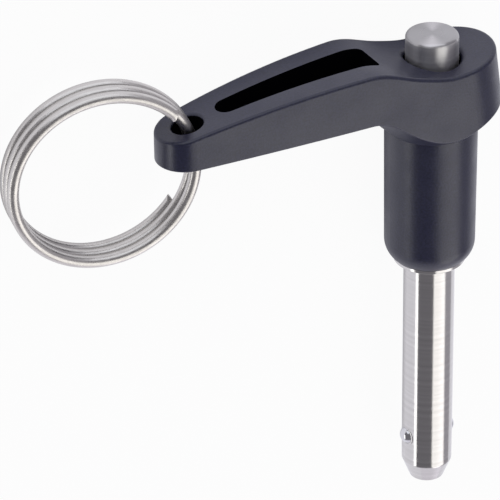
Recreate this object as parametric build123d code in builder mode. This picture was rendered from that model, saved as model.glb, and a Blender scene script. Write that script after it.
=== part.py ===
from build123d import *
from math import cos, degrees, radians, sin, sqrt, tan
import os

os.makedirs("parts", exist_ok=True)

# Self-locking ball lock pin with an L-shaped handle, a push button and a split ring.
#
# The pin lies on its side, as it comes to rest on a table. +X runs along the handle's arm, +Y along
# the shank to its tip, and +Z is up. The origin is on the pin's axis, in the plane of the seat under
# the collar. Heights are measured from that seat towards the button, so height h lies at y = -h.
# All sizes are in millimetres and angles in degrees.

# ---- shank
shank_diameter = 8.0
grip_length = 30.0          # thickness of the stack that the pin holds
land_relief = 0.02          # beyond the grip the shank tapers by this much on the radius
grip_play = 0.6             # from the full grip to the first rise of the balls
tip_land = 5.0              # full diameter below the middle of the balls
tip_length = 3.1            # the cone that leads the pin into its hole
tip_diameter = 5.5
tip_round = 0.6
collar_diameter = 11.2
collar_thickness = 0.7
collar_chamfer = 0.12
stem_diameter = 9.9         # the thick upper end that is pressed into the handle
stem_height = 22.0
stem_chamfer = 0.4
bore_bottom = 2.4           # solid steel left at the tip
spring_pocket_depth = 8.0
spring_pocket_play = 0.3

# ---- locking balls
ball_diameter = 3.0
locked_diameter = 9.5       # over the balls when they stand out
ball_travel = 0.75          # how far each ball moves in as the button is pressed
ball_play = 0.05

# ---- spindle
spindle_diameter = 3.46
spindle_play = 0.09
ball_gap = 0.02             # between the ball and the land that backs it
ramp_gap = 0.02
ramp_length = 3.0
neck_length = 0.9           # from the end of the ramp to the shoulder above it
land_length = 1.6           # of the land below the middle of the balls
tenon_diameter = 2.6
tenon_length = 4.0

# ---- push button
button_diameter = 8.2
button_stand = 4.15         # above the lowest part of the handle's head
button_travel = 3.0
button_round = 0.7
flange_diameter = 9.6
flange_thickness = 1.5
flange_chamfer = 0.3
lip_gap = 0.05              # between the flange and the lip that stops it
lip_thickness = 3.0

# ---- return spring
spring_wire = 0.7
spring_diameter = 6.6       # to the middle of the wire
spring_turns = 7.5

# ---- handle: hub and head
hub_diameter_top = 14.4
hub_diameter_bottom = 14.16
hub_round = 4.0
hub_foot_diameter = 11.4    # the flat ring that meets the collar
flare_depth = 6.3           # below the arm the hub opens out into the head, at 45 degrees
head_height = 35.05         # at the bottom of the head's saddle
head_width = 15.2
saddle_rise = (             # of the head's top above head_height, from its back to the crest's foot
    (-11.5, 1.85),
    (-7.0, 0.9),
    (-3.0, 0.27),
    (0.5, 0.0),
    (4.0, 0.61),
    (7.0, 1.45),
    (10.0, 2.53),
)
saddle_back_slope = 0.26
nose_centre = 3.6           # of the round back of the head, behind the axis
nose_depth = 2.5            # below the arm, where nose_centre is measured
nose_lean = 7.5             # the nose leans towards the axis as it rises
head_hole_diameter = 8.8
head_hole_round = 1.0

# ---- handle: arm
crest_reach = 14.5
crest_rise = 3.33           # of the crest above head_height
crest_fall = 2.6
arm_top_radius = 164.0
arm_reach = 46.85
arm_depth = 8.38            # at the crest
arm_bottom_fall = 1.6
arm_mid_share = 0.47        # of the reach, where arm_mid_width is measured
arm_mid_width = 13.0
arm_tip_width = 9.5
underside_round = 5.0
top_round = 0.5
lower_round = 0.25

# ---- handle: slot and ring hole
slot_start = 10.7
slot_width = 6.26
slot_corner_round = 0.8     # of the two corners next to the head
slot_taper = 2.73           # of each side
slot_end_setback = 4.8      # from the slot's end to the middle of the ring hole
slot_end_radius = 1.85
slot_floor_thickness = 1.4
ring_hole_setback = 5.05    # from the middle of the hole to the end of the arm
ring_hole_diameter = 4.7
ring_hole_round = 0.5

# ---- split ring
ring_diameter = 30.2        # outside
ring_wire = 1.8
ring_pitch = 1.9
ring_turns = 2.784
ring_end_angle = 49.5       # from the hole to the lower end of the wire
ring_slack = 0.5            # the wire lies this far inside the middle of the hole
ring_swing = 14.0           # from the line of the arm towards the tip

# ---- worked out from the sizes above
shank_radius = shank_diameter / 2
ball_radius = ball_diameter / 2
ball_offset = locked_diameter / 2 - ball_radius
ball_rise = sqrt(ball_radius**2 - (shank_radius - ball_offset) ** 2)
ball_level = grip_length + grip_play + ball_rise
cone_start = ball_level + tip_land
tip_y = cone_start + tip_length
stem_radius = stem_diameter / 2
spindle_radius = spindle_diameter / 2
bore_radius = spindle_radius + spindle_play
spring_seat_height = stem_height - spring_pocket_depth
lip_height = head_height - lip_thickness
flange_top = lip_height - lip_gap
flange_bottom = flange_top - flange_thickness
button_top = head_height + button_stand
saddle = [(x, head_height + rise) for x, rise in saddle_rise]
crest_height = head_height + crest_rise
arm_bottom_height = crest_height - arm_depth
flare_height = arm_bottom_height - flare_depth
nose_height = arm_bottom_height - nose_depth
slot_floor_height = arm_bottom_height + slot_floor_thickness
arm_mid_reach = arm_mid_share * arm_reach
ring_hole_reach = arm_reach - ring_hole_setback
slot_end = ring_hole_reach - slot_end_setback
hub_top_radius = hub_diameter_top / 2
hub_bottom_radius = hub_diameter_bottom / 2
head_half = head_width / 2

# A plane through the pin's axis: its x runs along the arm and its y up the pin, to the button.
SIDE = Plane(origin=(0, 0, 0), x_dir=(1, 0, 0), z_dir=(0, 0, -1))


def level(height):
    """The plane across the pin at a height above the seat: its x runs along the arm, its y up."""
    return Plane.XZ.offset(height)


def write(piece, name):
    """Labels a finished piece and writes its STEP file."""
    piece.label = name
    export_step(piece, "parts/" + name + ".step")


# ---------------------------------------------------------------- handle
flare_rise = arm_bottom_height + 1.5 - flare_height
slab_half = hub_top_radius + flare_rise + 3.0   # wider than the flare: it is trimmed to the plan
slab_end = arm_reach + 1.0
trim_base = flare_height - 2.0
trim_height = crest_height - trim_base + 2.0
underside_drop = tan(radians(arm_bottom_fall))
crest_turn = radians(crest_fall)


def underside(x):
    """Height of the arm's underside at a distance x from the axis."""
    return arm_bottom_height - (x - crest_reach) * underside_drop


def arm_top(x):
    """Height of the arm's top at a distance x from the axis, beyond the crest."""
    rise_to_top = sqrt(arm_top_radius**2 - (x - crest_reach + arm_top_radius * sin(crest_turn)) ** 2)
    return crest_height - arm_top_radius * cos(crest_turn) + rise_to_top


with BuildPart() as handle:
    # the arm and head as one wide slab with the side view's outline
    with BuildSketch(SIDE):
        with BuildLine():
            back_x, back_height = saddle[0]
            back_start = (-slab_half, back_height + (slab_half + back_x) * saddle_back_slope)
            nape = Line(back_start, saddle[0])
            rise = Spline(
                *saddle,
                (crest_reach, crest_height),
                tangents=((1, -saddle_back_slope), (cos(crest_turn), -sin(crest_turn))),
            )
            spine = JernArc(
                rise @ 1,
                (cos(crest_turn), -sin(crest_turn)),
                arm_top_radius,
                -degrees(1.01 * (slab_end - crest_reach) / arm_top_radius),
            )
            spine_end = (spine @ 1).X
            Polyline(
                spine @ 1,
                (spine_end, underside(spine_end)),
                (-slab_half, underside(-slab_half)),
                nape @ 0,
            )
        make_face()
    extrude(amount=slab_half, both=True)

    # the flare that carries the head on the hub, a cone of 45 degrees round the pin's axis
    with BuildSketch(SIDE):
        with BuildLine():
            Polyline(
                (0, flare_height),
                (hub_top_radius, flare_height),
                (hub_top_radius + flare_rise, flare_height + flare_rise),
                (0, flare_height + flare_rise),
                close=True,
            )
        make_face()
    revolve(axis=Axis.Y)
    inner_corner = [
        edge
        for edge in handle.edges().filter_by(lambda e: e.geom_type in (GeomType.ELLIPSE, GeomType.CIRCLE))
        if edge.bounding_box().size.X > 2 * hub_top_radius + 2
        and edge.bounding_box().max.Y < -arm_bottom_height + 1.5
        and edge.bounding_box().min.Y > -arm_bottom_height - 1.5
    ]
    fillet(inner_corner, underside_round)

    # the plan of the head and arm
    mid_half = arm_mid_width / 2
    tip_half = arm_tip_width / 2
    tip_turn = radians(7)
    tip_centre = arm_reach - tip_half
    with BuildSketch(level(trim_base)):
        with BuildLine():
            cheek = Line((-slab_half, head_half), (0, head_half))
            side = ThreePointArc(
                cheek @ 1,
                (arm_mid_reach, mid_half),
                (tip_centre + tip_half * sin(tip_turn), tip_half * cos(tip_turn)),
            )
            far = side @ 1
            tip = ThreePointArc(far, (arm_reach, 0), (far.X, -far.Y))
            other_side = ThreePointArc(tip @ 1, (arm_mid_reach, -mid_half), (0, -head_half))
            Polyline(other_side @ 1, (-slab_half, -head_half), cheek @ 0)
        make_face()
    extrude(amount=trim_height, mode=Mode.INTERSECT)

    # the round back of the head, which leans towards the axis as it rises
    lean = tan(radians(nose_lean))
    nose_base = -(nose_centre + lean * (nose_height - trim_base))
    with BuildSketch(level(trim_base)):
        with Locations((nose_base, 0)):
            Circle(head_half)
        with Locations((nose_base, 0)):
            Rectangle(slab_end - nose_base + 20, head_width, align=(Align.MIN, Align.CENTER))
    extrude(amount=trim_height, dir=(lean, -1, 0), mode=Mode.INTERSECT)

    # soft edges: the walls are the faces that stand along the pin's axis
    walls = [f for f in handle.faces() if abs(f.normal_at().Y) < 0.3]
    rims = [e for f in walls for e in f.edges() if sum(e in w.edges() for w in walls) == 1]
    upper_rims = [e for e in rims if -(e @ 0.5).Y > underside((e @ 0.5).X) + 0.5]
    lower_rims = [e for e in rims if -(e @ 0.5).Y <= underside((e @ 0.5).X) + 0.5]
    fillet(upper_rims, top_round)
    fillet(lower_rims, lower_round)

    # the hub, slightly tapered, with a rounded foot that meets the collar
    foot_radius = hub_foot_diameter / 2
    foot_in = hub_bottom_radius - hub_round
    foot_rise = sqrt(hub_round**2 - (foot_radius - foot_in) ** 2)
    with BuildSketch(SIDE):
        with BuildLine():
            foot = Line((0, collar_thickness), (foot_radius, collar_thickness))
            hub_start = (hub_bottom_radius, collar_thickness + foot_rise)
            shoulder = TangentArc(hub_start, foot @ 1, tangent=(0, -1))
            wall = Line(hub_start, (hub_top_radius, flare_height))
            Polyline(wall @ 1, (hub_top_radius, flare_height + 1), (0, flare_height + 1), foot @ 0)
        make_face()
    revolve(axis=Axis.Y)

    # the bore for the stem and the button's flange, and the hole that the button stands in
    with BuildSketch(level(collar_thickness)):
        Circle(stem_radius)
    extrude(amount=lip_height - collar_thickness, mode=Mode.SUBTRACT)
    with BuildSketch(level(lip_height)):
        Circle(head_hole_diameter / 2)
    extrude(amount=trim_height, mode=Mode.SUBTRACT)
    lip_walls = [
        f
        for f in handle.faces().filter_by(GeomType.CYLINDER)
        if abs(f.radius - head_hole_diameter / 2) < 0.01
    ]
    hole_edge = [
        e for f in lip_walls for e in f.edges() if e.bounding_box().max.Y < -head_height + 0.1
    ]
    fillet(hole_edge, head_hole_round)

    # the long slot in the top of the arm, tapered like the arm
    slot_half = slot_width / 2
    end_centre = slot_end - slot_end_radius
    turn = radians(slot_taper)
    with BuildSketch(level(slot_floor_height)) as slot_plan:
        with BuildLine():
            tangent_x = end_centre + slot_end_radius * sin(turn)
            tangent_y = slot_end_radius * cos(turn)
            long_side = Line((slot_start, slot_half), (tangent_x, tangent_y))
            slot_tip = ThreePointArc(long_side @ 1, (slot_end, 0), (tangent_x, -tangent_y))
            Polyline(slot_tip @ 1, (slot_start, -slot_half), (slot_start, slot_half))
        make_face()
        fillet(slot_plan.vertices().sort_by(Axis.X)[:2], slot_corner_round)
    extrude(amount=trim_height, mode=Mode.SUBTRACT)

    # the hole for the split ring
    with BuildSketch(level(trim_base)):
        with Locations((ring_hole_reach, 0)):
            Circle(ring_hole_diameter / 2)
    extrude(amount=trim_height, mode=Mode.SUBTRACT)
    ring_hole_faces = [
        f
        for f in handle.faces().filter_by(GeomType.CYLINDER)
        if abs(f.radius - ring_hole_diameter / 2) < 0.001
        and abs(f.bounding_box().center().X - ring_hole_reach) < 1
    ]
    ring_hole_edges = [e for f in ring_hole_faces for e in f.edges() if e.geom_type != GeomType.LINE]
    fillet(ring_hole_edges, ring_hole_round)
write(handle.part, "handle")

# ---------------------------------------------------------------- shank
with BuildPart() as shank:
    collar_radius = collar_diameter / 2
    tip_radius = tip_diameter / 2
    with BuildSketch(SIDE):
        with BuildLine():
            Polyline(
                (0, stem_height),
                (stem_radius, stem_height),
                (stem_radius, collar_thickness),
                (collar_radius, collar_thickness),
                (collar_radius, 0),
                (shank_radius, 0),
                (shank_radius, -grip_length),
                (shank_radius - land_relief, -cone_start),
                (tip_radius, -tip_y),
                (0, -tip_y),
                close=True,
            )
        make_face()
    revolve(axis=Axis.Y)
    round_edges = shank.edges().filter_by(GeomType.CIRCLE)
    fillet(round_edges.filter_by(lambda e: abs((e @ 0).Y - cone_start) < 0.01), tip_round)
    chamfer(round_edges.filter_by(lambda e: abs(e.radius - collar_radius) < 0.01), collar_chamfer)
    chamfer(round_edges.filter_by(lambda e: abs((e @ 0).Y + stem_height) < 0.01), stem_chamfer)

    # the bore for the spindle, closed at the tip, and the spring's pocket
    with BuildSketch(level(stem_height)):
        Circle(bore_radius)
    extrude(amount=-(stem_height + tip_y - bore_bottom), mode=Mode.SUBTRACT)
    with BuildSketch(level(stem_height)):
        Circle(spring_diameter / 2 + spring_wire / 2 + spring_pocket_play)
    extrude(amount=-spring_pocket_depth, mode=Mode.SUBTRACT)

    # the balls' sockets: each narrows at the surface, so that its ball can't fall out
    socket_radius = ball_radius + ball_play
    with BuildSketch(Plane.YZ.offset(-ball_offset)):
        with Locations((ball_level, 0)):
            Circle(socket_radius)
    extrude(amount=2 * ball_offset, mode=Mode.SUBTRACT)
    with Locations((ball_offset, ball_level, 0), (-ball_offset, ball_level, 0)):
        Sphere(socket_radius, mode=Mode.SUBTRACT)
write(shank.part, "shank")

# ---------------------------------------------------------------- locking balls
for ball_name, ball_side in (("ball_near", 1), ("ball_far", -1)):
    with BuildPart() as ball:
        with Locations((ball_side * ball_offset, ball_level, 0)):
            Sphere(ball_radius)
    write(ball.part, ball_name)

# ---------------------------------------------------------------- spindle
# Its land holds the balls out. Pressed down, the ramp above the land lets them in.
with BuildPart() as spindle:
    land_radius = ball_offset - ball_radius - ball_gap
    ramp_slope = ball_travel / button_travel
    ramp_start_radius = ball_offset - ball_radius * sqrt(1 + ramp_slope**2) - ramp_gap
    ramp_start = (land_radius - ramp_start_radius) / ramp_slope
    neck_radius = ramp_start_radius - ramp_slope * ramp_length
    ramp_end_height = -ball_level + ramp_length
    shoulder_height = ramp_end_height + neck_length
    with BuildSketch(SIDE):
        with BuildLine():
            Polyline(
                (0, -ball_level - land_length),
                (land_radius - 0.2, -ball_level - land_length),
                (land_radius, -ball_level - land_length + 0.2),
                (land_radius, -ball_level - ramp_start),
                (neck_radius, ramp_end_height),
                (neck_radius, shoulder_height),
                (spindle_radius, shoulder_height + spindle_radius - neck_radius),
                (spindle_radius, flange_bottom),
                (tenon_diameter / 2, flange_bottom),
                (tenon_diameter / 2, flange_bottom + tenon_length),
                (0, flange_bottom + tenon_length),
                close=True,
            )
        make_face()
    revolve(axis=Axis.Y)
write(spindle.part, "spindle")

# ---------------------------------------------------------------- push button
with BuildPart() as push_button:
    with BuildSketch(level(flange_bottom)):
        Circle(button_diameter / 2)
    extrude(amount=button_top - flange_bottom)
    button_rim = push_button.edges().group_by(Axis.Y)[0]
    with BuildSketch(level(flange_bottom)):
        Circle(flange_diameter / 2)
    extrude(amount=flange_thickness)
    fillet(button_rim, button_round)
    chamfer(push_button.edges().group_by(Axis.Y)[-1], flange_chamfer)
    with BuildSketch(level(flange_bottom)):
        Circle(tenon_diameter / 2)
    extrude(amount=tenon_length, mode=Mode.SUBTRACT)
write(push_button.part, "push_button")

# ---------------------------------------------------------------- return spring
# The ends of the wire are ground flat on their seats.
with BuildPart() as return_spring:
    spring_length = flange_bottom - spring_seat_height
    coil_height = spring_length - spring_wire / 2
    coil_plane = level(spring_seat_height + spring_wire / 4)
    with BuildLine():
        coil = Helix(
            pitch=coil_height / spring_turns,
            height=coil_height,
            radius=spring_diameter / 2,
            center=coil_plane.origin,
            direction=coil_plane.z_dir,
        )
    with BuildSketch(Plane(origin=coil @ 0, z_dir=coil % 0)):
        Circle(spring_wire / 2)
    sweep(is_frenet=True)
    with BuildSketch(level(spring_seat_height)):
        Circle(spring_diameter)
    extrude(amount=spring_length, mode=Mode.INTERSECT)
write(return_spring.part, "return_spring")

# ---------------------------------------------------------------- split ring
# A coil of round wire that passes twice through the handle's hole. Its far side lies on the table
# that the head lies on, so its plane tips down from the hole.
ring_radius = (ring_diameter - ring_wire) / 2
half_coil = ring_pitch * ring_turns / 2
far_layer = half_coil - ring_pitch * (180 - ring_end_angle) / 360
ring_drop = head_half - far_layer - ring_wire / 2
dip = ring_drop / (2 * ring_radius - ring_slack)
swing = radians(ring_swing)
hole_height = (underside(ring_hole_reach) + arm_top(ring_hole_reach)) / 2
to_centre = Vector(cos(swing) * cos(dip), sin(swing) * cos(dip), -sin(dip))
ring_centre = Vector(ring_hole_reach, -hole_height, 0) + to_centre * (ring_radius - ring_slack)
ring_normal = Vector(cos(swing) * sin(dip), sin(swing) * sin(dip), cos(dip))
to_lower_end = (-to_centre).rotate(Axis((0, 0, 0), ring_normal), -ring_end_angle)
ring_plane = Plane(origin=ring_centre, x_dir=to_lower_end, z_dir=ring_normal)

with BuildPart() as split_ring:
    with BuildLine():
        coil = Helix(
            pitch=ring_pitch,
            height=ring_pitch * ring_turns,
            radius=ring_radius,
            center=(0, 0, -half_coil),
            lefthand=True,
            mode=Mode.PRIVATE,
        )
        turns = ring_plane.from_local_coords(coil)
        add(turns)
    with BuildSketch(Plane(origin=turns @ 0, z_dir=turns % 0)):
        Circle(ring_wire / 2)
    sweep(is_frenet=True)
write(split_ring.part, "split_ring")
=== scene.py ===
# %% [markdown]
# # A ball lock pin with a lever handle
#
# A ball lock pin holds two plates together until somebody presses its button. This one has a
# steel shank, a dark moulded handle, a steel button and a split ring for a lanyard.
#
# The model's solids come ready made. This lesson dresses them: it lights them as in a small
# studio and gives each one its finish. It also makes meshes where a solid won't do: the return
# spring, which has to shorten, the split ring, whose drawing marks follow its wire, and the
# fine lips of metal round the locking balls.

import math

import bpy
import numpy as np
from mathutils import Matrix, Vector


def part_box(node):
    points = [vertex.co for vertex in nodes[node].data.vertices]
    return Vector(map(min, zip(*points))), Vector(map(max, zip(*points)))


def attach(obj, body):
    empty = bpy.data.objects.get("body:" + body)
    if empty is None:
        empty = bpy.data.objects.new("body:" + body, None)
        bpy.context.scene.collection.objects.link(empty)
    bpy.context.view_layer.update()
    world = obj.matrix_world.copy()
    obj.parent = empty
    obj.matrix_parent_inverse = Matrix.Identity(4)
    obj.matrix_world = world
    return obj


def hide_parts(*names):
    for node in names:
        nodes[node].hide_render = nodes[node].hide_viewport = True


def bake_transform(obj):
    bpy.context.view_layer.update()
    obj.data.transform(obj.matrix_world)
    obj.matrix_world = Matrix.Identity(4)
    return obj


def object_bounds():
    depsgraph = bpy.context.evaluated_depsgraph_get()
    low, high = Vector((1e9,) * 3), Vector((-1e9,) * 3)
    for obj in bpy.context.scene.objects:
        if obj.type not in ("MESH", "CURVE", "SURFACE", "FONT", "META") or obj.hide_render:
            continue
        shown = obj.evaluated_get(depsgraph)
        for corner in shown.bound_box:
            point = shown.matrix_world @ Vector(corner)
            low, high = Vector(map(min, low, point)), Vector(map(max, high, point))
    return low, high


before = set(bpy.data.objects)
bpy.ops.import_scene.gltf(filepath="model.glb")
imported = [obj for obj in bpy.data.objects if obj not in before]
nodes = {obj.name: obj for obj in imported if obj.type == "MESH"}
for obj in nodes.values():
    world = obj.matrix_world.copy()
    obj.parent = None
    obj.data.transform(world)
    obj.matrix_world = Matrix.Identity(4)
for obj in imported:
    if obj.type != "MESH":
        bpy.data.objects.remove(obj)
cad_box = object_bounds()
MM = 0.001
print("nodes:", sorted(nodes))
print("box in mm:", [[round(v / MM, 1) for v in corner] for corner in cad_box])

# %% [markdown]
# ## The camera
#
# The pin lies on its side. The camera looks down at it from behind the button, through a long
# lens, so that the shank and the handle keep nearly the same scale. A camera could be aimed
# with a constraint, but three plain directions (right, up and back) say exactly how it is
# turned.

# %% Set the camera
camera_data = bpy.data.cameras.new("camera")
camera_data.lens = 295.2
camera_data.sensor_width = 36.0
camera_data.clip_start = 0.05
camera_data.clip_end = 10.0
camera = bpy.data.objects.new("camera", camera_data)
bpy.context.scene.collection.objects.link(camera)
bpy.context.scene.camera = camera

turn_round = math.radians(28.0)
look_down = math.radians(30.4)
roll = 0.012
eye_distance, eye_right, eye_up = 638.9, -27.91, 1.339
right = np.array([-math.cos(turn_round), 0.0, math.sin(turn_round)])
back = np.array(
    [
        math.sin(turn_round) * math.cos(look_down),
        -math.sin(look_down),
        math.cos(turn_round) * math.cos(look_down),
    ]
)
up = np.cross(back, right)
rolled_right = right * math.cos(roll) - up * math.sin(roll)
rolled_up = right * math.sin(roll) + up * math.cos(roll)
eye = (eye_distance * back + eye_right * right + eye_up * up) * MM
turned = np.stack([rolled_right, rolled_up, back], axis=1)
camera.matrix_world = Matrix([[*row, place] for row, place in zip(turned, eye)] + [[0, 0, 0, 1]])
print("camera at", [round(v, 4) for v in eye])

# %% [markdown]
# ## Shader helpers
#
# Every finish below is built from nodes. These few helpers keep each recipe short: one starts
# a material with its Principled shader, one adds a node, one fills a socket, and two do the
# sums.

# %% Node helpers


def start_material(name, color, metallic, roughness):
    """A new material: its node tree and its Principled shader, with three plain values set."""
    material = bpy.data.materials.new(name)
    material.use_nodes = True
    tree = material.node_tree
    shader = tree.nodes["Principled BSDF"]
    shader.inputs["Base Color"].default_value = (*color, 1.0)
    shader.inputs["Metallic"].default_value = metallic
    shader.inputs["Roughness"].default_value = roughness
    return material, tree, shader


def add(tree, kind, **settings):
    """A new node of one kind. Settings are its properties, or its inputs' values when named so."""
    node = tree.nodes.new(kind)
    for key, value in settings.items():
        if hasattr(node, key):
            setattr(node, key, value)
        else:
            node.inputs[key.replace("_", " ")].default_value = value
    return node


def fill(tree, socket, value):
    """Sets an input socket to a number, or joins an output to it."""
    if isinstance(value, (int, float)):
        socket.default_value = value
    else:
        tree.links.new(value, socket)


def math_node(tree, operation, *values):
    """The output of one Math node. Each value is a number to set or an output to join."""
    node = add(tree, "ShaderNodeMath", operation=operation)
    for socket, value in zip(node.inputs, values):
        fill(tree, socket, value)
    return node.outputs[0]


def map_range(tree, value, start, end, low, high, kind="LINEAR"):
    """The output of one Map Range node: as the value goes from start to end, low goes to high."""
    node = add(tree, "ShaderNodeMapRange", interpolation_type=kind)
    filled = {"Value": value, "From Min": start, "From Max": end, "To Min": low, "To Max": high}
    for name, number in filled.items():
        fill(tree, node.inputs[name], number)
    return node.outputs["Result"]


def finish_node(name, material):
    """Gives a solid of the model its finish."""
    piece = nodes[name]
    piece.data.materials.clear()
    piece.data.materials.append(material)
    print(name, "is", material.name)


# %% [markdown]
# ## Shared effects
#
# An effect that comes back in other finishes is worth a node group with named inputs. The nodes
# could be copied from material to material instead, but then a change has to be made in each.
#
# *Moulded grain* is the fine, even roughness of a plastic part from an eroded mould. It is a
# small bump with a slow change of gloss over it.
#
# *Turning marks* are the fine rings that a lathe or a grinding wheel leaves round a steel
# part. On this pin all of them run round the Y axis, so the pattern only depends on the place
# along Y and on the distance from that axis.

# %% Group: moulded grain


def new_group(name, inputs, outputs):
    """An empty node group: inputs are numbers with their values, outputs have a kind each."""
    group = bpy.data.node_groups.new(name, "ShaderNodeTree")
    for label, value in inputs.items():
        socket = group.interface.new_socket(label, in_out="INPUT", socket_type="NodeSocketFloat")
        socket.default_value = value
    for label, kind in outputs.items():
        group.interface.new_socket(label, in_out="OUTPUT", socket_type=f"NodeSocket{kind}")
    return group, group.nodes.new("NodeGroupInput"), group.nodes.new("NodeGroupOutput")


surface_outputs = {"Normal": "Vector", "Roughness": "Float", "Shade": "Float"}
grain, grain_in, grain_out = new_group(
    "moulded grain", {"Size": 4500.0, "Height": 0.5, "Low": 0.42, "High": 0.58}, surface_outputs
)
place = grain.nodes.new("ShaderNodeTexCoord")
fine = add(grain, "ShaderNodeTexNoise", Detail=3.0)
slow = add(grain, "ShaderNodeTexNoise", Scale=180.0, Detail=2.0)
bump = add(grain, "ShaderNodeBump", Distance=0.00006)
gloss = map_range(
    grain, slow.outputs["Fac"], 0.3, 0.7, grain_in.outputs["Low"], grain_in.outputs["High"]
)
grain.links.new(place.outputs["Object"], fine.inputs["Vector"])
grain.links.new(place.outputs["Object"], slow.inputs["Vector"])
grain.links.new(grain_in.outputs["Size"], fine.inputs["Scale"])
grain.links.new(grain_in.outputs["Height"], bump.inputs["Strength"])
grain.links.new(fine.outputs["Fac"], bump.inputs["Height"])
grain.links.new(bump.outputs["Normal"], grain_out.inputs["Normal"])
grain.links.new(gloss, grain_out.inputs["Roughness"])
grain.links.new(fine.outputs["Fac"], grain_out.inputs["Shade"])
print("group", grain.name)

# %% Group: turning marks
turning, turning_in, turning_out = new_group(
    "turning marks", {"Spacing": 9000.0, "Height": 0.4, "Low": 0.2, "High": 0.34}, surface_outputs
)
place = turning.nodes.new("ShaderNodeTexCoord")
split = turning.nodes.new("ShaderNodeSeparateXYZ")
turning.links.new(place.outputs["Object"], split.inputs[0])
squares = [math_node(turning, "MULTIPLY", split.outputs[a], split.outputs[a]) for a in "XZ"]
across = math_node(turning, "SQRT", math_node(turning, "ADD", *squares))
ring_place = turning.nodes.new("ShaderNodeCombineXYZ")
turning.links.new(across, ring_place.inputs["X"])
turning.links.new(split.outputs["Y"], ring_place.inputs["Y"])
marks = add(turning, "ShaderNodeTexNoise", Detail=2.0, Roughness=0.7)
turning.links.new(ring_place.outputs[0], marks.inputs["Vector"])
turning.links.new(turning_in.outputs["Spacing"], marks.inputs["Scale"])
bands = add(turning, "ShaderNodeTexNoise", Scale=1500.0, Detail=4.0)
turning.links.new(ring_place.outputs[0], bands.inputs["Vector"])
bump = add(turning, "ShaderNodeBump", Distance=0.00002)
turning.links.new(turning_in.outputs["Height"], bump.inputs["Strength"])
turning.links.new(marks.outputs["Fac"], bump.inputs["Height"])
gloss = map_range(
    turning,
    bands.outputs["Fac"],
    0.35,
    0.65,
    turning_in.outputs["Low"],
    turning_in.outputs["High"],
)
turning.links.new(bump.outputs["Normal"], turning_out.inputs["Normal"])
turning.links.new(gloss, turning_out.inputs["Roughness"])
turning.links.new(bands.outputs["Fac"], turning_out.inputs["Shade"])
print("group", turning.name)

# %% [markdown]
# *Recess* is a mask for the slot, the ring's hole and the button's hole of the handle. Their
# walls are painted in shade: nearly black and duller than the skin, standing in for the shadow
# inside the openings. The mask is 1 where a point lies in the plan of one of the openings, seen
# along the pin's axis. In the slot and
# the button's hole it also has to lie above the underside of the arm. The openings could be
# painted on a picture of the surface instead, but a mask worked out from their sizes has a
# clean edge at any distance.

# %% Group: recess shade mask
recess_shade, recess_in, recess_out = new_group(
    "recess_shade",
    {
        "Slot start": 0.01067,
        "Slot half": 0.00316,
        "Slot narrowing": 0.0523,
        "Corner round": 0.00083,
        "Slot end centre": 0.03515,
        "Slot end radius": 0.00188,
        "Ring hole": 0.0418,
        "Ring hole radius": 0.00237,
        "Head hole radius": 0.00443,
        "Lowest": 0.0312,
    },
    {"Mask": "Float"},
)
given = recess_in.outputs
place = recess_shade.nodes.new("ShaderNodeTexCoord")
split = recess_shade.nodes.new("ShaderNodeSeparateXYZ")
recess_shade.links.new(place.outputs["Object"], split.inputs[0])
x, y, z = split.outputs


def calc(operation, *values):
    """One Math node of the group."""
    return math_node(recess_shade, operation, *values)


def shorter(first, second, limit):
    """1 where the plan vector with these two parts is shorter than the limit."""
    squares = (calc("MULTIPLY", part, part) for part in (first, second))
    return calc("LESS_THAN", calc("SQRT", calc("ADD", *squares)), limit)


past_start = calc("SUBTRACT", x, given["Slot start"])
wall = calc("SUBTRACT", given["Slot half"], calc("MULTIPLY", past_start, given["Slot narrowing"]))
before_corner = calc("MAXIMUM", calc("SUBTRACT", given["Corner round"], past_start), 0.0)
past_wall = calc("SUBTRACT", calc("ABSOLUTE", z), wall)
beside_corner = calc("MAXIMUM", calc("ADD", past_wall, given["Corner round"]), 0.0)
past_end = calc("SUBTRACT", x, given["Slot end centre"])
in_body = calc(
    "MULTIPLY",
    shorter(before_corner, beside_corner, given["Corner round"]),
    calc("LESS_THAN", past_end, 0.0),
)
in_end = shorter(past_end, z, given["Slot end radius"])
in_ring_hole = shorter(calc("SUBTRACT", x, given["Ring hole"]), z, given["Ring hole radius"])
in_head_hole = shorter(x, z, given["Head hole radius"])
opening = calc("MAXIMUM", calc("MAXIMUM", in_body, in_end), in_head_hole)
high = calc("GREATER_THAN", calc("MULTIPLY", y, -1.0), given["Lowest"])
mask = calc("MAXIMUM", calc("MULTIPLY", opening, high), in_ring_hole)
recess_shade.links.new(mask, recess_out.inputs["Mask"])
print("group", recess_shade.name)

# %% [markdown]
# Most finishes below take one of these groups. One helper places the group, sets its values, and
# joins what it gives: a colour between two shades, a roughness and a normal.

# %% Place a group in a material


def use_group(tree, shader, group, dark, light, **values):
    """Puts a group in a material: its shade runs from dark to light, its other outputs join."""
    node = add(tree, "ShaderNodeGroup", node_tree=group)
    for key, value in values.items():
        node.inputs[key].default_value = value
    ramp = tree.nodes.new("ShaderNodeValToRGB")
    stops = zip(ramp.color_ramp.elements, (0.35, 0.65), (dark, light))
    for stop, position, color in stops:
        stop.position = position
        stop.color = (*color, 1.0)
    tree.links.new(node.outputs["Shade"], ramp.inputs["Fac"])
    tree.links.new(ramp.outputs["Color"], shader.inputs["Base Color"])
    tree.links.new(node.outputs["Roughness"], shader.inputs["Roughness"])
    tree.links.new(node.outputs["Normal"], shader.inputs["Normal"])
    return node
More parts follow.
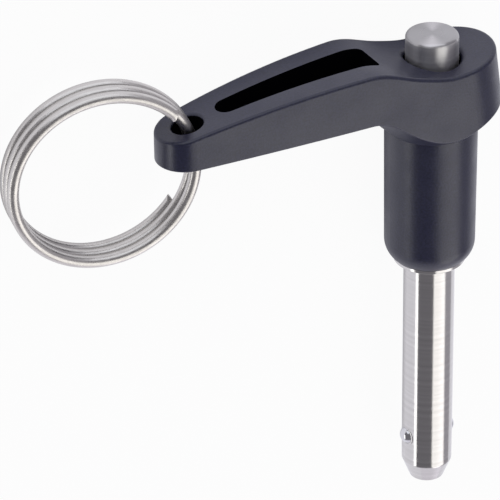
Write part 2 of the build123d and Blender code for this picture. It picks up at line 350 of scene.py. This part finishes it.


# %% [markdown]
# ## The handle
#
# The handle is nearly black. What makes it look slate grey is the white of the room in its
# surface, which the fine grain of the mould spreads. So its colour stays dark, and its gloss
# does the rest: a lighter paint would lose the dark band down the hub. The gloss changes
# slowly over the large cheek.
#
# The narrow openings lie in shade, and that shade is painted in: the recess mask turns their
# colour nearly black. A plastic wall would still mirror the white of the room into them, so the
# mask also joins Metallic: a metal mirrors in its own colour, here nearly black, which paints the
# shade into the reflection too.

# %% Finish of the handle
handle_finish, tree, shader = start_material("dark moulding", (0.012, 0.012, 0.028), 0.0, 0.4)
shader.inputs["Specular IOR Level"].default_value = 0.66
grain_node = use_group(
    tree,
    shader,
    grain,
    dark=(0.006, 0.0075, 0.028),
    light=(0.015, 0.0165, 0.050),
    Size=3300.0,
    Height=0.35,
    Low=0.28,
    High=0.40,
)
opening_shade_mask = add(tree, "ShaderNodeGroup", node_tree=recess_shade).outputs["Mask"]
skin = shader.inputs["Base Color"].links[0].from_socket
# Painted shade: inside the openings the colour turns nearly black.
painted_opening_shade = add(tree, "ShaderNodeMix", data_type="RGBA")
painted_opening_shade.inputs["B"].default_value = (0.004, 0.004, 0.006, 1.0)
tree.links.new(opening_shade_mask, painted_opening_shade.inputs["Factor"])
tree.links.new(skin, painted_opening_shade.inputs["A"])
tree.links.new(painted_opening_shade.outputs["Result"], shader.inputs["Base Color"])
tree.links.new(opening_shade_mask, shader.inputs["Metallic"])
opening_roughness = math_node(tree, "MULTIPLY", opening_shade_mask, 0.9)
roughness = math_node(tree, "MAXIMUM", grain_node.outputs["Roughness"], opening_roughness)
tree.links.new(roughness, shader.inputs["Roughness"])
finish_node("handle", handle_finish)

# %% [markdown]
# ## Shank and spindle
#
# The shank is ground, so its marks are very fine and its reflections are long clear bands. The
# marks could be a picture wrapped round it, but rings worked out from the place on the pin
# need no wrapping and go on over the cone of the tip. The spindle inside it has the same
# finish.

# %% Finish of the ground steel
ground_steel, tree, shader = start_material("ground steel", (0.6, 0.59, 0.58), 1.0, 0.2)
use_group(
    tree,
    shader,
    turning,
    dark=(0.575, 0.562, 0.548),
    light=(0.645, 0.632, 0.617),
    Spacing=12000.0,
    Height=0.3,
    Low=0.09,
    High=0.16,
)
finish_node("shank", ground_steel)
finish_node("spindle", ground_steel)

# %% [markdown]
# ## The button
#
# The button is turned, so its marks are coarser, and its side is rougher than its face. On the
# round face the marks are circles, and they gather the light into two opposite fans.
# Anisotropic stretches the gloss across the marks, with a tangent that runs round the pin.
# That alone leaves the fans weak on so small a face, so they are painted into the colour as
# painted highlights: the square of the cosine of the angle round the pin, raised to a power
# that says how narrow they are. Between the fans the face is painted darker than the side, a
# painted shade.

# %% Finish of the turned steel
turned_steel, tree, shader = start_material("turned steel", (0.6, 0.59, 0.58), 1.0, 0.35)
shader.inputs["Anisotropic"].default_value = 0.8
shader.inputs["Anisotropic Rotation"].default_value = 0.25
round_the_pin = add(tree, "ShaderNodeTangent", direction_type="RADIAL", axis="Y")
tree.links.new(round_the_pin.outputs["Tangent"], shader.inputs["Tangent"])
use_group(
    tree,
    shader,
    turning,
    dark=(0.60, 0.59, 0.58),
    light=(0.68, 0.67, 0.66),
    Spacing=7000.0,
    Height=0.2,
    Low=0.27,
    High=0.34,
)
side_color = shader.inputs["Base Color"].links[0].from_socket
marked = shader.inputs["Roughness"].links[0].from_socket
print("material", turned_steel.name, "with", len(tree.nodes), "nodes")

# %% Painted fans of light and painted shade on the button's face
fans_turned = math.radians(59.0)
fans_narrow = 7.0
painted_face_share = 0.8
# Painted highlight in the fans, painted shade between them.
painted_highlight_in_fans = (0.65, 0.63, 0.63, 1.0)
painted_shade_between_fans = (0.36, 0.355, 0.355, 1.0)
face_height = 38.8 * MM
side_rougher = 0.08
next_to_nothing = 1e-7

place = tree.nodes.new("ShaderNodeTexCoord")
spin = add(tree, "ShaderNodeMapping", Rotation=(0.0, fans_turned, 0.0))
split = tree.nodes.new("ShaderNodeSeparateXYZ")
tree.links.new(place.outputs["Object"], spin.inputs["Vector"])
tree.links.new(spin.outputs["Vector"], split.inputs[0])
squares = [math_node(tree, "MULTIPLY", split.outputs[a], split.outputs[a]) for a in "XZ"]
reach = math_node(tree, "ADD", math_node(tree, "ADD", *squares), next_to_nothing)
painted_fan_mask = math_node(tree, "POWER", math_node(tree, "DIVIDE", squares[0], reach), fans_narrow)
on_face = math_node(tree, "LESS_THAN", split.outputs["Y"], -face_height)

# The face's colour: painted highlight in the fans over painted shade between them, laid over the
# side's colour.
painted_fans = add(tree, "ShaderNodeMix", data_type="RGBA")
painted_fans.inputs["A"].default_value = painted_shade_between_fans
painted_fans.inputs["B"].default_value = painted_highlight_in_fans
tree.links.new(painted_fan_mask, painted_fans.inputs["Factor"])
painted_face_over_side = add(tree, "ShaderNodeMix", data_type="RGBA")
tree.links.new(math_node(tree, "MULTIPLY", on_face, painted_face_share), painted_face_over_side.inputs["Factor"])
tree.links.new(side_color, painted_face_over_side.inputs["A"])
tree.links.new(painted_fans.outputs["Result"], painted_face_over_side.inputs["B"])
tree.links.new(painted_face_over_side.outputs["Result"], shader.inputs["Base Color"])

smooth_face = math_node(tree, "MULTIPLY", on_face, -side_rougher)
rougher = math_node(tree, "ADD", marked, side_rougher)
tree.links.new(math_node(tree, "ADD", rougher, smooth_face), shader.inputs["Roughness"])
finish_node("push_button", turned_steel)

# %% [markdown]
# ## Locking balls and spring
#
# Bearing balls are polished. Nothing breaks up their mirror but a trace of handling, which a
# slow noise in the roughness gives. The spring's wire is drawn and dull.

# %% Finish of the balls and the spring


def worn_steel(name, color, low, high, size):
    """Steel whose gloss changes slowly between two values of roughness."""
    material, tree, shader = start_material(name, color, 1.0, low)
    place = tree.nodes.new("ShaderNodeTexCoord")
    noise = add(tree, "ShaderNodeTexNoise", Scale=size, Detail=3.0)
    tree.links.new(place.outputs["Object"], noise.inputs["Vector"])
    gloss = map_range(tree, noise.outputs["Fac"], 0.35, 0.65, low, high)
    tree.links.new(gloss, shader.inputs["Roughness"])
    return material


ball_finish = worn_steel("polished ball", (0.68, 0.68, 0.69), 0.06, 0.14, 900.0)
finish_node("ball_near", ball_finish)
finish_node("ball_far", ball_finish)
spring_finish = worn_steel("drawn wire", (0.45, 0.45, 0.46), 0.3, 0.45, 1500.0)

# %% [markdown]
# ## Meshes from grids of points
#
# The pieces below are surfaces worked out with numpy. Each is a grid of points: the rows
# follow one another, and each row is a closed loop. One helper makes the faces between the
# rows for all.

# %% Mesh from closed rows


def mesh_from_rows(name, rows, first_pole=None, last_pole=None):
    """A smooth mesh from rows of points, each a closed loop, joined row to row by quads.

    A pole is one point that closes an end: a fan of triangles joins it to the nearest row.
    """
    count, round_count = rows.shape[:2]
    index = np.arange(count * round_count).reshape(count, round_count)
    after = np.roll(index, -1, axis=1)
    quads = np.stack([index[:-1], after[:-1], after[1:], index[1:]], axis=-1).reshape(-1, 4)
    points = rows.reshape(-1, 3)
    faces = quads.tolist()
    for pole, row, turned in ((first_pole, 0, True), (last_pole, -1, False)):
        if pole is None:
            continue
        tip = np.full(round_count, len(points))
        points = np.vstack([points, pole])
        pair = (after[row], index[row]) if turned else (index[row], after[row])
        faces += np.stack([*pair, tip], axis=-1).tolist()
    mesh = bpy.data.meshes.new(name)
    mesh.from_pydata(points.tolist(), [], faces)
    mesh.polygons.foreach_set("use_smooth", np.ones(len(mesh.polygons), dtype=bool))
    mesh.validate()
    piece = bpy.data.objects.new(name, mesh)
    bpy.context.scene.collection.objects.link(piece)
    print(name, "has", len(mesh.vertices), "points and", len(mesh.polygons), "faces")
    return piece


# %% [markdown]
# ## The return spring
#
# The spring stands between its seat in the shank and the flange of the button, so it has to
# shorten when the button goes down. A solid can't do that. Here the spring is a mesh. The first
# and last turns are ground flat, which is what holding the points between two planes does.

# %% Wire of the return spring
spring_wire = 0.7 * MM
spring_turns = 7.5
spring_low, spring_high = (np.array(corner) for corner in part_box("return_spring"))
spring_top, spring_foot = spring_low[1], spring_high[1]
spring_radius = (spring_high[0] - spring_low[0] - spring_wire) / 2


def wire_of_spring(steps, sides):
    """The spring's wire: a circle carried up a helix round the pin, from the foot to the top.

    The height grows evenly with the turn. Every point is then held between the two ends.
    """
    turn = np.linspace(0.0, spring_turns, steps)[:, None, None]
    angle = 2 * np.pi * turn
    outward = np.concatenate([np.sin(angle), 0 * angle, -np.cos(angle)], axis=2)
    forward = np.concatenate([np.cos(angle), 0 * angle, np.sin(angle)], axis=2)
    upward = np.array([0.0, -1.0, 0.0])
    rise = spring_foot - spring_top - spring_wire / 2
    start = np.array([0.0, spring_foot - spring_wire / 4, 0.0])
    centre = start + spring_radius * outward + upward * rise * turn / spring_turns
    along = 2 * np.pi * spring_radius * forward + upward * rise / spring_turns
    along /= np.linalg.norm(along, axis=2, keepdims=True)
    round_angle = np.linspace(0, 2 * np.pi, sides, endpoint=False)[None, :, None]
    across = np.cos(round_angle) * outward + np.sin(round_angle) * np.cross(along, outward)
    rows = centre + spring_wire / 2 * across
    rows[..., 1] = np.clip(rows[..., 1], spring_top, spring_foot)
    return rows, [centre[0, 0], centre[-1, 0]]


rows, ends = wire_of_spring(steps=360, sides=16)
spring = mesh_from_rows("spring_wire", rows, first_pole=ends[0], last_pole=ends[1])
spring.data.materials.append(spring_finish)
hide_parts("return_spring")
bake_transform(spring)
every = 97
some_points = [v.co for v in nodes["return_spring"].data.vertices][::every]
gaps = [np.linalg.norm(rows - np.array(point), axis=2).min() for point in some_points]
print("the solid's points lie within", round(max(gaps) / MM, 3), "mm of the mesh's")

# %% [markdown]
# ## The split ring
#
# A split ring is one piece of hard spring wire, wound nearly three times round and pressed
# flat. Its surface is satin, with fine marks along the wire from the die that drew it. A curve
# with a round bevel could make the wire, but its ends would be flat discs. Here the wire is a
# grid instead: one direction goes along the coil, the other round the wire. So its ends can be
# cut at a slant, with a small rounded edge, and each point can note its place along the wire,
# which the marks need.

# %% Place of the split ring
ring_wire = 1.8 * MM
ring_radius = 14.2 * MM
ring_pitch = 1.9 * MM
ring_turns = 2.784
ring_dip = math.radians(9.7422)
ring_swing = math.radians(14.0)
ring_end_angle = math.radians(49.5)
ring_hole = np.array([41.8, -32.032, 0.0]) * MM
ring_slack = 0.5 * MM

away = np.array(
    [
        math.cos(ring_swing) * math.cos(ring_dip),
        math.sin(ring_swing) * math.cos(ring_dip),
        -math.sin(ring_dip),
    ]
)
ring_axis = np.array(
    [
        math.cos(ring_swing) * math.sin(ring_dip),
        math.sin(ring_swing) * math.sin(ring_dip),
        math.cos(ring_dip),
    ]
)
ring_centre = ring_hole + away * (ring_radius - ring_slack)
across_ring = np.cross(ring_axis, away)
to_start = -away * math.cos(ring_end_angle) + across_ring * math.sin(ring_end_angle)
past_start = np.cross(ring_axis, to_start)
print("the ring's centre in mm:", (ring_centre / MM).round(2))

# %% Wire of the split ring


def coil_frames(turn):
    """Centre of the wire, its direction, and the two directions across it, for an array of turns.

    The coil is left handed: it goes round the axis backwards as it climbs by the pitch each turn.
    """
    angle = -2 * np.pi * turn[:, None]
    outward = np.cos(angle) * to_start + np.sin(angle) * past_start
    climb = ring_pitch * (turn[:, None] - ring_turns / 2) * ring_axis
    centre = ring_centre + ring_radius * outward + climb
    forward = np.sin(angle) * to_start - np.cos(angle) * past_start
    along = 2 * np.pi * ring_radius * forward + ring_pitch * ring_axis
    along /= np.linalg.norm(along, axis=1, keepdims=True)
    return centre, along, outward, np.cross(along, outward)


def wire_of_ring(steps, sides, slant, edge, edge_rows=6, lean_rows=3):
    """The ring's wire with slanted, rounded ends.

    A point is the coil's centre line plus a circle across it. The last rows at each end shrink
    over a quarter circle of the edge's radius, and lean along the wire with their height across
    it.
    """
    quarter = np.linspace(0.0, np.pi / 2, edge_rows)
    shrink = np.concatenate([np.sin(quarter), np.ones(steps), np.cos(quarter)])
    reach = np.concatenate([-np.cos(quarter), np.zeros(steps), np.sin(quarter)]) * edge
    turn = np.pad(np.linspace(0, ring_turns, steps), edge_rows, mode="edge")
    fade = 1 - np.minimum(np.arange(steps) / lean_rows, 1)
    lean = np.concatenate([np.ones(edge_rows), fade, np.zeros(edge_rows)])
    lean = (lean + lean[::-1])[:, None, None]
    centre, along, outward, side = (v[:, None, :] for v in coil_frames(turn))
    radius = (ring_wire / 2 - edge * (1 - shrink))[:, None, None]
    round_angle = np.linspace(0, 2 * np.pi, sides, endpoint=False)[None, :, None]
    across = np.cos(round_angle) * outward + np.sin(round_angle) * side
    slide = slant * radius * np.cos(round_angle) * lean * np.where(turn > 1, -1, 1)[:, None, None]
    rows = centre + radius * across + along * (reach[:, None, None] + slide)
    place = np.stack(
        np.broadcast_arrays(
            np.cos(round_angle[..., 0]),
            np.sin(round_angle[..., 0]),
            turn[:, None] * 2 * np.pi * ring_radius / (ring_wire / 2),
        ),
        axis=-1,
    )
    ends = [(centre + along * reach[:, None, None])[row, 0] for row in (0, -1)]
    return rows, place, ends


# %% Mesh of the split ring
rows, place_on_wire, ends = wire_of_ring(steps=420, sides=40, slant=0.45, edge=0.14 * MM)
ring = mesh_from_rows("ring_wire", rows, first_pole=ends[0], last_pole=ends[1])
note = ring.data.attributes.new("along_wire", "FLOAT_VECTOR", "POINT")
with_poles = np.vstack([place_on_wire.reshape(-1, 3), np.zeros((2, 3))])
note.data.foreach_set("vector", with_poles.astype(np.float32).ravel())
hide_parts("split_ring")
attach(ring, "ring")
for label, piece in (("solid", nodes["split_ring"]), ("mesh", ring)):
    points = np.array([v.co for v in piece.data.vertices]) / MM
    print(label, "box in mm:", points.min(0).round(2), points.max(0).round(2))

# %% [markdown]
# *Drawing marks* run along the wire. The noise is read at the place noted on each point,
# squeezed along the wire, so that every grain of it becomes a long streak. The round part of
# the place is a cosine and a sine, so the pattern meets itself with no seam.

# %% Group: drawing marks
drawn, drawn_in, drawn_out = new_group(
    "drawing marks", {"Count": 9.0, "Height": 0.3, "Low": 0.26, "High": 0.36}, surface_outputs
)
place = add(drawn, "ShaderNodeAttribute", attribute_name="along_wire")
squeeze = add(drawn, "ShaderNodeMapping", Scale=(1.0, 1.0, 0.035))
streaks = add(drawn, "ShaderNodeTexNoise", Detail=4.0, Roughness=0.65)
patches = add(drawn, "ShaderNodeTexNoise", Scale=1.6, Detail=2.0)
bump = add(drawn, "ShaderNodeBump", Distance=0.00002)
gloss = map_range(
    drawn, patches.outputs["Fac"], 0.35, 0.65, drawn_in.outputs["Low"], drawn_in.outputs["High"]
)
drawn.links.new(place.outputs["Vector"], squeeze.inputs["Vector"])
drawn.links.new(squeeze.outputs["Vector"], streaks.inputs["Vector"])
drawn.links.new(place.outputs["Vector"], patches.inputs["Vector"])
drawn.links.new(drawn_in.outputs["Count"], streaks.inputs["Scale"])
drawn.links.new(drawn_in.outputs["Height"], bump.inputs["Strength"])
drawn.links.new(streaks.outputs["Fac"], bump.inputs["Height"])
drawn.links.new(bump.outputs["Normal"], drawn_out.inputs["Normal"])
drawn.links.new(gloss, drawn_out.inputs["Roughness"])
drawn.links.new(streaks.outputs["Fac"], drawn_out.inputs["Shade"])
print("group", drawn.name)

# %% Finish of the split ring
satin_wire, tree, shader = start_material("satin wire", (0.6, 0.59, 0.57), 1.0, 0.3)
use_group(
    tree,
    shader,
    drawn,
    dark=(0.56, 0.54, 0.51),
    light=(0.70, 0.68, 0.645),
    Count=9.0,
    Height=0.12,
    Low=0.27,
    High=0.36,
)
ring.data.materials.append(satin_wire)
print(ring.name, "is", satin_wire.name)

# %% [markdown]
# ## Staked edges round the balls
#
# A ball can't fall out, because the edge of its hole is pressed in round it with a hollow
# punch. That leaves a low lip of metal round each ball. A torus bent with a modifier could
# make it. Here it is a grid whose rows are circles seen along the ball's hole, and each point
# is lifted onto the round shank at its own place.

# %% Staked edges
shank_radius = 4.0 * MM
ball_level = 31.899 * MM
inner_sunk = 0.02 * MM
outer_sunk = 0.025 * MM


def staked_edge(name, side, inner, outer, lift):
    """A lip round a ball's hole: side is +1 or -1 for the way that the hole faces along X.

    Across the lip the lift rises and falls as half a sine wave. A point lies on the shank's
    round wall, at the root of its radius squared less its z squared, plus the lift. The first
    and the last row are sunk a little into the wall, so that no gap shows under them.
    """
    across = np.linspace(0.0, 1.0, 9)[:, None]
    angle = np.linspace(0.0, 2 * np.pi, 72, endpoint=False)[None, :]
    reach = inner + (outer - inner) * across
    y = ball_level + reach * np.cos(angle)
    z = reach * np.sin(angle) * side
    rise = lift * np.sin(np.pi * across) - inner_sunk * (across == 0.0)
    x = side * (np.sqrt(shank_radius**2 - z**2) + rise - outer_sunk * (across == 1.0))
    piece = mesh_from_rows(name, np.stack([x, y, z], axis=-1))
    piece.data.materials.append(ground_steel)
    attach(piece, "grip")


for name, side in (("staked_edge_near", 1), ("staked_edge_far", -1)):
    staked_edge(name, side, inner=1.36 * MM, outer=1.78 * MM, lift=0.07 * MM)

# %% [markdown]
# ## The studio
#
# Steel shows what stands round it, so the table, the room and the lamps are chosen for their
# reflections. The table is white, and what mirrors it sees it white too, a little blue. It
# could be lit white by a strong lamp, but that would bleach the pin, so its glow comes from
# Light Path.
#
# Right beside the pin less light reaches the table, and its mirror image has to fade there, or
# the hollows of the handle would shine. Ambient Occlusion tells how closed in a point of the
# table is.

# %% Table
table_gap = 0.1 * MM
seen_share = 0.95
mirrored_share = 0.98
seen_color = (1.0, 1.0, 1.0, 1.0)
mirrored_color = (0.93, 0.925, 1.0, 1.0)
closed_in_reach = 7.0 * MM
table_height = cad_box[0][2] - table_gap
bpy.ops.mesh.primitive_plane_add(size=4.0, location=(0.0, 0.0, table_height))
table = bpy.context.active_object
table.name = "table"

table_white, tree, shader = start_material("white table", (0.85, 0.85, 0.85), 0.0, 0.7)
shader.inputs["Specular IOR Level"].default_value = 0.1
glow = tree.nodes.new("ShaderNodeEmission")
glow.inputs["Strength"].default_value = 1.0
light_path = tree.nodes.new("ShaderNodeLightPath")
closed_in = add(tree, "ShaderNodeAmbientOcclusion", Distance=closed_in_reach, samples=8)
open_part = math_node(tree, "POWER", closed_in.outputs["AO"], 2.0)
seen = math_node(tree, "MULTIPLY", light_path.outputs["Is Camera Ray"], seen_share)
mirrored = math_node(tree, "MULTIPLY", light_path.outputs["Is Glossy Ray"], mirrored_share)
share = math_node(tree, "MAXIMUM", seen, math_node(tree, "MULTIPLY", mirrored, open_part))
tint = add(tree, "ShaderNodeMix", data_type="RGBA")
tint.inputs["A"].default_value = seen_color
tint.inputs["B"].default_value = mirrored_color
tree.links.new(light_path.outputs["Is Glossy Ray"], tint.inputs["Factor"])
tree.links.new(tint.outputs["Result"], glow.inputs["Color"])
blend = tree.nodes.new("ShaderNodeMixShader")
tree.links.new(share, blend.inputs["Fac"])
tree.links.new(shader.outputs["BSDF"], blend.inputs[1])
tree.links.new(glow.outputs["Emission"], blend.inputs[2])
tree.links.new(blend.outputs["Shader"], tree.nodes["Material Output"].inputs["Surface"])
table.data.materials.append(table_white)
print("table at a height of", round(table_height / MM, 2), "mm")

# %% [markdown]
# *The room* is dim, which makes the dark band down the shank. It is brighter on the side away
# from the ring, and brightest beyond the tip. Where the camera looks straight at it, it is
# about as white as the table.

# %% Room
room_level = 0.2
world = bpy.data.worlds.new("room")
bpy.context.scene.world = world
world.use_nodes = True
tree = world.node_tree
place = tree.nodes.new("ShaderNodeTexCoord")
split = tree.nodes.new("ShaderNodeSeparateXYZ")
tree.links.new(place.outputs["Generated"], split.inputs[0])


def brighter(direction, start, end, extra):
    """Light that the room gains as a direction's part along one axis goes from start to end."""
    return map_range(tree, split.outputs[direction], start, end, 0.0, extra, kind="SMOOTHSTEP")


gained = math_node(tree, "ADD", brighter("X", -0.1, -0.6, 0.25), brighter("Y", 0.7, 0.9, 0.7))
room = math_node(tree, "ADD", gained, room_level)
seen = tree.nodes.new("ShaderNodeLightPath").outputs["Is Camera Ray"]
background = tree.nodes["Background"]
tree.links.new(math_node(tree, "MAXIMUM", room, seen), background.inputs["Strength"])
background.inputs["Color"].default_value = (0.97, 0.94, 1.04, 1.0)
bpy.context.scene.view_settings.view_transform = "Standard"
print("room", world.name, "at a level of", room_level)

# %% [markdown]
# *Soft boxes* are large lamps with an even face. The high one leans over the back of the pin
# and draws the bright band down the shank. The low one gives the other band. The third stands
# before the button and lights the top of the head and the arm.

# %% Soft boxes


def soft_box(name, place, size, power, color=(1.0, 1.0, 1.0)):
    """A rectangular lamp, its size in metres, aimed at the middle of the pin."""
    lamp = bpy.data.lights.new(name, "AREA")
    lamp.shape = "RECTANGLE"
    lamp.size, lamp.size_y = size
    lamp.energy = power
    lamp.color = color
    box = bpy.data.objects.new(name, lamp)
    bpy.context.scene.collection.objects.link(box)
    middle = Vector((0.02, 0.0, 0.0))
    box.location = place
    box.rotation_euler = (middle - Vector(place)).to_track_quat("-Z", "Y").to_euler()
    print(name, "at", place)


soft_box("high_box", (-0.175, 0.35, 0.59), (0.52, 0.9), 1.9, color=(1.0, 0.985, 0.96))
soft_box("low_box", (0.75, 0.25, 0.03), (0.7, 0.2), 0.9)
soft_box("front_box", (0.15, -0.75, 0.25), (1.2, 0.8), 3.0, color=(0.9, 0.93, 1.0))
